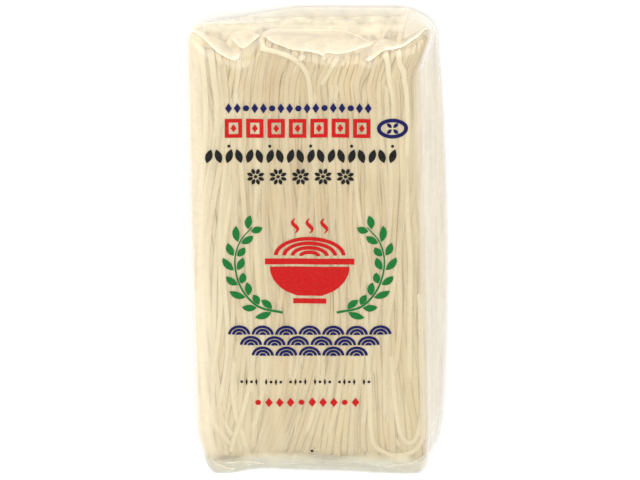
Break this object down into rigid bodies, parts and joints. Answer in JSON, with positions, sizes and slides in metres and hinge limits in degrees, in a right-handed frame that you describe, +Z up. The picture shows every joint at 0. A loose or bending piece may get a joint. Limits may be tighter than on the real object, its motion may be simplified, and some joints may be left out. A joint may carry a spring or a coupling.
{
  "type": "bag of dried rice noodle sticks",
  "caption": "Sealed clear film bag packed with a brick-shaped bundle of dried flat rice noodles, folded shut at its top end and lying on its back with the printed face up.",
  "frame": {"origin": "under the middle of the pack, on the surface that it lies on", "axes": "+X to the pack's right seen from its printed face, +Y along its length towards the folded top end, +Z up out of the printed face"},
  "size_m": [0.1329, 0.2498, 0.0484],
  "materials": {
    "rice_noodle": "dry, slightly translucent cream rice noodle",
    "clear_film": "thin clear glossy packing film, slightly hazy at folds and sides",
    "print_ink": "printed ink in navy, red, green and black on the film"
  },
  "bodies": {
    "root": {"noodle_bag": "rice_noodle"}
  },
  "joints": []
}
